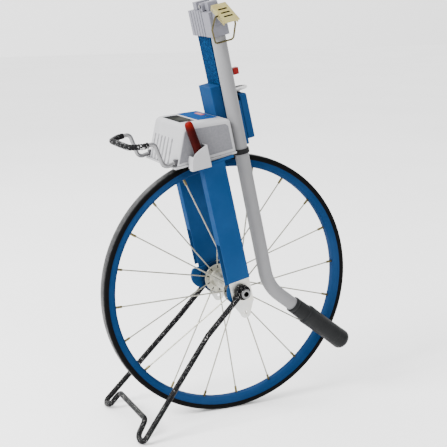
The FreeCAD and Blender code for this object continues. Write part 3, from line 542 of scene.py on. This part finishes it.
# ------------------------------------------------------------------ frame
for node, mat, w in (("axle", "steel", 0.4), ("axle_washers", "zinc", 0.15), ("axle_spacers", "zinc", 0.3), ("dropout_near", "zinc", 0.3), ("dropout_far", "zinc", 0.3),
                     ("fork_crown", "blue", 0.6), ("column_sleeve", "blue", 3.0), ("column", "fleck", 0.8),
                     ("sensor_pod", "blue", 0.8), ("pickup_sensor", "plastic_black", 0.4), ("battery_box", "blue", 0.8), ("battery_cover", "blue", 2.2), ("battery_cells", "cell", 0.4),
                     ("cap_neck", "white", 0.2), ("battery_cap", "white", 0.5), ("button_boss", "plastic_black", 0.4), ("side_button", "red", 0.9), ("column_head", "head", 0.8), ("hinge_pin", "steel", 0.3),
                     ("latch_catch", "yellow", 0.4), ("handle_head", "head", 1.0), ("latch_base", "head", 0.3), ("latch_pin", "steel", 0.2), ("latch_lever", "yellow", 0.3),
                     ("housing_base", "housing", 0.6), ("display_module", "plastic_black", 0.3), ("circuit_board", "board", 0.1), ("crayon_pocket", "housing", 0.5), ("bail_clips", "clip", 0.4),
                     ("screws", "steel", 0.4), ("axle_nuts", "steel", 0.8), ("tube_ring", "black", 0.8)):
    refine(node, M[mat], w)

paint("fork_leg_near", M["blue"])
paint("fork_leg_far", M["blue"])

# handle tube and grip
TX, TY = 50.5, -40.0
ang = math.radians(38.8)
gd = Vector((math.sin(ang), 0, -math.cos(ang)))
vertex = Vector((TX - 4.5, TY, -10.6))
grip_a = vertex + gd * 51.5
tube_end = grip_a + gd * 104.0
pathl = [L(TX, TY, 390.0), L(*vertex), L(*tube_end)]
sweep("handle_tube_skin", bent(pathl, [65.0], step=3.0, arc_steps=30), 10.0, M["tube"], "handle", ["handle_tube"], seg=64)
zaxis = LD(*gd)
xaxis = YP.cross(zaxis).normalized()
yaxis = zaxis.cross(xaxis)
gm = Matrix((xaxis, yaxis, zaxis)).transposed().to_4x4()
gm.translation = L(*grip_a)
grip = [(10.0, 0.0), (11.4, 0.0), (12.1, 0.5), (12.3, 1.5), (12.3, 5.0), (11.7, 5.6), (11.7, 6.6), (12.2, 7.2)]
for i in range(0, 12):
    grip.append((12.2 + 0.5 * i / 11, 7.2 + i * 1.55))
grip += [(12.7, 24.6), (12.3, 25.4), (12.3, 26.6), (13.0, 27.4), (14.3, 28.6), (14.8, 30.2)]
for i in range(1, 84):
    h = 30.2 + i * 75.8 / 84
    base = 14.8 - 0.45 * math.sin((h - 30.2) / 75.8 * math.pi)
    base -= 0.22 * (0.5 + 0.5 * math.cos(h * 2 * math.pi / 3.6)) if 40 < h < 96 else 0.0
    grip.append((base, h))
for i in range(0, 15):
    a = i / 14.0 * math.pi / 2
    grip.append((14.8 * math.cos(a) ** 0.75 if i < 14 else 0.01, 106.0 + 9.8 * math.sin(a)))
grip += [(0.01, 104.0), (10.0, 104.0)]
lathe("grip_skin", grip, M["grip"], "handle", ["grip"], seg=96, frame_m=gm, angle=55)

# ------------------------------------------------------------------ stand
KX, KY, KZ = -54.5, 53.7, -58.0
FX, FY, FZ = -166.6, 84.0, -194.0 + 4.1
NX, NY, NZ = -151.5, 56.0, -167.6
dirn = Vector((KX, 0, KZ)).normalized()
root = dirn * 9.0
half = [(root.x, 54.2, root.z), (KX, KY, KZ), (FX + 3.0, FY, FZ + 2.5), (FX, FY - 9.0, FZ), (FX + 1.5, NY + 6.0, FZ + 3.0), (NX, NY, NZ)]
pts = [Vector(p) * MM for p in half] + [Vector((x, -y, z)) * MM for x, y, z in reversed(half)]
sweep("stand_rod", bent(pts, [14.0, 6.0, 6.0, 12.0, 9.0, 9.0, 12.0, 6.0, 6.0, 14.0], step=2.0, arc_steps=16), 4.05, M["stand"], "stand_body", ["stand"], seg=28)
for sgn, tag in ((-1, "near"), (1, "far")):
    ring = [(6.1, sgn * 54.2 - 3.3), (6.6, sgn * 54.2 - 3.75), (10.3, sgn * 54.2 - 3.75), (11.0, sgn * 54.2 - 3.1), (11.0, sgn * 54.2 + 3.1), (10.3, sgn * 54.2 + 3.75), (6.6, sgn * 54.2 + 3.75), (6.1, sgn * 54.2 + 3.3)]
    lathe("stand_eye_" + tag, ring, M["stand"], "stand_body", ["stand"], seg=72)

# ------------------------------------------------------------------ front bail and its sleeve
BY = 50.4
bail = [(-48.0, -BY, 211.6), (-72.0, -BY, 209.5), (-77.5, -BY, 245.5), (-94.0, -BY - 1.0, 246.0), (-109.0, -36.0, 247.0), (-113.0, -18.0, 249.5),
        (-113.0, 18.0, 249.5), (-109.0, 36.0, 247.0), (-94.0, BY + 1.0, 246.0), (-77.5, BY, 245.5), (-72.0, BY, 209.5), (-48.0, BY, 211.6)]
brad = [8.0, 7.0, 7.0, 12.0, 14.0, 14.0, 12.0, 7.0, 7.0, 8.0]
sweep("front_bail_wire", bent([L(*p) for p in bail], brad, step=1.5, arc_steps=12), 3.0, M["steel"], "frame", ["front_bail"], seg=24)
s0 = tuple(bail[2][k] + 0.55 * (bail[3][k] - bail[2][k]) for k in range(3))
s1 = (s0[0], -s0[1], s0[2])
sweep("bail_sleeve_skin", bent([L(*p) for p in [s0] + bail[3:9] + [s1]], [7.0, 12.0, 14.0, 14.0, 12.0, 7.0], step=0.5, arc_steps=20),
      lambda d, t: 4.1 + 0.3 * math.sin(d * 2 * math.pi / 4.2), M["sleeve"], "frame", ["bail_sleeve"], seg=26)

# ------------------------------------------------------------------ latch bail
LAx = (-58.0, 404.5)
ldv, lnv = (-0.857, -0.515), (0.515, -0.857)
bp = (LAx[0] + ldv[0] * 20.0 + lnv[0] * 4.5, LAx[1] + ldv[1] * 20.0 + lnv[1] * 4.5)
lb = [(44.0, bp[0], bp[1]), (37.8, bp[0], bp[1]), (33.0, bp[0] + 8.3, bp[1] - 17.0), (38.0, bp[0] + 18.0, bp[1] - 37.0), (65.0, bp[0] + 18.0, bp[1] - 37.0), (68.0, bp[0] + 8.3, bp[1] - 17.0), (65.2, bp[0], bp[1]), (60.0, bp[0], bp[1])]
sweep("latch_bail_wire", bent([L(*p) for p in lb], [2.6, 6.0, 4.5, 4.5, 6.0, 2.6], step=0.8, arc_steps=10), 1.3, M["yellow_dark"], "latch_bail_body", ["latch_bail"], seg=18)

def lever_pt(x, a, b):
    return L(x, LAx[0] + ldv[0] * a + lnv[0] * b, LAx[1] + ldv[1] * a + lnv[1] * b)


# A near-black box under the lever's slots: painted shade, standing for the shadowed inside seen through the slots.
slot_shade_box = [lever_pt(x, a, b) for x in (43.5, 60.5) for a in (9.0, 34.5) for b in (1.45, 2.2)]
finish_mesh("lever_slot_shade", slot_shade_box, [(0, 1, 3, 2), (4, 6, 7, 5), (0, 4, 5, 1), (2, 3, 7, 6), (0, 2, 6, 4), (1, 5, 7, 3)], M["plastic_black"], "latch_lever_body", smooth=False)

# ------------------------------------------------------------------ counter housing
HY = 57.0


def housing_outline(t, inset=0.0, drop=0.0):
    """One ring of the moulding at height t (0 at the base, 1 at the top), as (x', y, s)."""
    front = -56.0 + 23.0 * t + inset
    rear = 34.5 + 1.0 * t - inset
    half_y = HY - 1.2 * t - inset
    bow = 4.0 * (1 - t) * 0.4
    cr = max(1.5, 7.0 + 3.0 * t - inset * 0.4)
    pts = []
    n_side, n_corner, n_front = 24, 8, 150
    def base_s(x):
        lo = 206.5 + (203.0 - 206.5) * (x + 56.0) / 90.5
        hi = 259.0 + (249.5 - 259.0) * (x + 33.0) / 68.5
        return lo + (hi - lo) * t - drop
    def add(x, y):
        pts.append((x, y, base_s(x)))
    for k in range(n_front):
        u = -1 + 2 * k / (n_front - 1)
        y = u * (half_y - cr)
        x = front - bow * (1 - u * u)
        g = 0.0
        if t < 0.62:
            for c in (-26.0, -13.0, 0.0, 13.0, 26.0, 39.0):
                g = max(g, max(0.0, 1 - (abs(y - c) / 2.6) ** 4))
            g *= min(1.0, (0.62 - t) / 0.06)
        add(x + 3.4 * g, y)
    for k in range(1, n_corner + 1):
        a = math.pi / 2 * k / n_corner
        add(front + cr - cr * math.cos(a), half_y - cr + cr * math.sin(a))
    for k in range(1, n_side):
        add(front + cr + (rear - 3 - front - cr) * k / n_side, half_y)
    for k in range(0, n_corner + 1):
        a = math.pi / 2 * k / n_corner
        add(rear - 3 + 3 * math.sin(a), half_y - 3 + 3 * math.cos(a))
    for k in range(1, 10):
        add(rear, half_y - 3 + (21.3 - half_y + 3) * k / 9)
    for k in range(1, 4):
        add(rear + (29.7 - rear) * k / 3, 21.3)
    for k in range(1, 8):
        add(29.7, 21.3 - 42.6 * k / 8)
    for k in range(0, 4):
        add(29.7 + (rear - 29.7) * k / 3, -21.3)
    for k in range(1, 9):
        add(rear, -21.3 + (3 - half_y + 21.3) * k / 9)
    for k in range(0, n_corner + 1):
        a = math.pi / 2 * k / n_corner
        add(rear - 3 + 3 * math.cos(a), -half_y + 3 - 3 * math.sin(a))
    for k in range(1, n_side):
        add(rear - 3 + (front + cr - rear + 3) * k / n_side, -half_y)
    for k in range(0, n_corner):
        a = math.pi / 2 * k / n_corner
        add(front + cr - cr * math.sin(a), -half_y + cr - cr * math.cos(a))
    return pts


rings = []
for i in range(0, 49):
    rings.append(housing_outline(i / 48 * 0.90))
for i in range(1, 11):
    a = i / 10 * math.pi / 2
    rings.append(housing_outline(0.90 + 0.10 * math.sin(a), 5.5 * (1 - math.cos(a)), 0.0))
n = len(rings[0])
verts = [L(*p) for ring in rings for p in ring]
faces = []
for i in range(len(rings) - 1):
    for k in range(n):
        k2 = (k + 1) % n
        faces.append((i * n + k, i * n + k2, (i + 1) * n + k2, (i + 1) * n + k))
faces.append(tuple((len(rings) - 1) * n + k for k in range(n)))
faces.append(tuple(range(n))[::-1])
finish_mesh("housing_shell", verts, faces, M["housing"], "frame", ["counter_housing"], angle=50)
# inset side panels
for sgn, tag in ((-1, "near"), (1, "far")):
    y = sgn * (HY + 0.25)
    corner = [(-51.5, 209.6), (-33.6, 249.2), (-30.0, 251.6), (27.0, 244.0), (30.5, 240.4), (30.0, 207.6)]
    c = Vector((sum(p[0] for p in corner) / 6, 0, sum(p[1] for p in corner) / 6))
    pv = []
    def t_of(x, s):
        lo = 206.5 + (203.0 - 206.5) * (x + 56.0) / 90.5
        hi = 259.0 + (249.5 - 259.0) * (x + 33.0) / 68.5
        return (s - lo) / (hi - lo)
    outer = [L(x, sgn * (HY - 1.2 * t_of(x, s) + 0.35), s) for x, s in corner]
    inner = [L(x, sgn * (HY - 1.2 * t_of(x, s) - 1.0), s) for x, s in corner]
    nn = len(corner)
    fc = [tuple(range(nn)), tuple(range(2 * nn - 1, nn - 1, -1))] + [(k, (k + 1) % nn, nn + (k + 1) % nn, nn + k) for k in range(nn)]
    ob = finish_mesh("side_panel_" + tag, outer + inner, fc, M["housing_side"], "frame", smooth=False)
    mod = ob.modifiers.new("round", "BEVEL")
    mod.width, mod.segments = 0.3 * MM, 2

# display, keypad and buttons on the sloping top
T0, T1 = Vector((-33.0, 0, 259.0)), Vector((35.5, 0, 249.5))
td = (T1 - T0).normalized()
tn = Vector((-td.z, 0, td.x))


def top_block(name, x0, x1, y0, y1, d0, d1, mats, body, replaced=(), width=0.4):
    vs = []
    for a in (x0, x1):
        for b in (y0, y1):
            for d in (d0, d1):
                o = T0 + td * ((a - T0.x) / td.x) + tn * d
                vs.append(L(o.x, b, o.z))
    ob = finish_mesh(name, vs, [(0, 1, 3, 2), (4, 6, 7, 5), (0, 4, 5, 1), (2, 3, 7, 6), (0, 2, 6, 4), (1, 5, 7, 3)], mats, body, replaced)
    mod = ob.modifiers.new("round", "BEVEL")
    mod.width, mod.segments, mod.harden_normals = width * MM, 3, True
    return ob


top_block("display_frame", -27.6, -5.6, -29.0, 38.0, -1.5, 0.25, M["frame_grey"], "frame", width=0.6)
top_block("display_glass", -25.2, -7.8, -26.7, 19.7, -1.0, 0.45, M["lcd"], "frame", ["display_window"], width=0.3)
top_block("keypad_skin", -1.6, 28.6, -31.6, 48.6, -1.5, 0.3, M["keypad"], "frame", ["keypad"], width=0.5)
top_block("reset_button_cap", 17.8, 24.2, 4.4, 29.6, -2.6, 0.9, M["red"], "reset_button_body", ["reset_button"], width=0.8)
refine("hold_button", M["plastic_black"], 0.4)

# crayon
cd = Vector((-0.136, 0, 1.0)).normalized()
zc = LD(*cd)
xc = YP.cross(zc).normalized()
cm = Matrix((xc, zc.cross(xc), zc)).transposed().to_4x4()
cm.translation = L(-21.0, -64.5, 202.6)
lathe("crayon_skin", [(0.01, 0.0), (5.4, 0.0), (5.9, 0.6), (5.95, 20.0), (5.95, 54.5), (5.7, 57.5), (4.9, 60.0), (3.4, 61.6), (0.01, 62.0)], M["crayon"], "crayon_body", ["crayon"], seg=48, closed=False, frame_m=cm, angle=50)

# ------------------------------------------------------------------ floor, light, camera
def stage_mesh(name, verts, faces, mat):
    me = bpy.data.meshes.new(name)
    me.from_pydata(verts, [], faces)
    me.materials.append(mat)
    ob = bpy.data.objects.new(name, me)
    bpy.context.scene.collection.objects.link(ob)
    return ob


k = Nodes("studio_floor")
floor_mat = k.set(color=k.mix(k.span(k.noise(2.0, 3.0, 0.5), 0.3, 0.7), (0.90, 0.90, 0.90), (0.93, 0.93, 0.93)), rough=0.75)
stage_mesh("floor", [(-8, -8, -0.194), (8, -8, -0.194), (8, 8, -0.194), (-8, 8, -0.194)], [(0, 1, 2, 3)], floor_mat)

world = bpy.data.worlds.new("studio")
bpy.context.scene.world = world
world.use_nodes = True
bg = world.node_tree.nodes["Background"]
bg.inputs[0].default_value = (1.0, 1.0, 1.0, 1.0)
wt = world.node_tree
where = wt.nodes.new("ShaderNodeTexCoord").outputs["Generated"]
dot = wt.nodes.new("ShaderNodeVectorMath")
dot.operation = "DOT_PRODUCT"
wt.links.new(where, dot.inputs[0])
dot.inputs[1].default_value = (-0.45, 0.55, 0.70)
level = wt.nodes.new("ShaderNodeMapRange")
level.interpolation_type = "SMOOTHSTEP"
wt.links.new(dot.outputs["Value"], level.inputs["Value"])
for key, v in (("From Min", -0.60), ("From Max", 0.70), ("To Min", 1.30), ("To Max", 2.75)):
    level.inputs[key].default_value = v
wt.links.new(level.outputs["Result"], bg.inputs[1])


def area(name, loc, target, size, power, color=(1, 1, 1)):
    data = bpy.data.lights.new(name, "AREA")
    data.shape = "RECTANGLE"
    data.size, data.size_y = size
    data.energy = power
    data.color = color
    ob = bpy.data.objects.new(name, data)
    bpy.context.scene.collection.objects.link(ob)
    ob.location = loc
    ob.rotation_euler = (Vector(target) - Vector(loc)).to_track_quat("-Z", "Y").to_euler()
    return ob


area("key", (-2.1, -0.5, 1.7), (0, 0, 0.05), (1.0, 1.0), 150.0)
area("fill", (1.7, -1.6, 0.9), (0, 0, 0.05), (1.4, 1.4), 2.0)
area("back", (-0.3, 1.8, 1.4), (0, 0, 0.1), (1.6, 1.2), 15.0)

cam_data = bpy.data.cameras.new("camera")
cam_data.sensor_width = 36.0
cam_data.lens = 36.0 * 1081.333 / 447.0
cam = bpy.data.objects.new("camera", cam_data)
bpy.context.scene.collection.objects.link(cam)
right = Vector((0.912850357, -0.408293414, -0.000844843))
upv = Vector((0.0895111786, 0.198106731, 0.976084767))
back = Vector((-0.398361612, -0.891094951, 0.217388625))
rot = Matrix((right, upv, back)).transposed().to_4x4()
rot.translation = Vector((-0.633888, -1.404560, 0.433149))
cam.matrix_world = rot
cam_data.clip_start = 0.05
bpy.context.scene.camera = cam
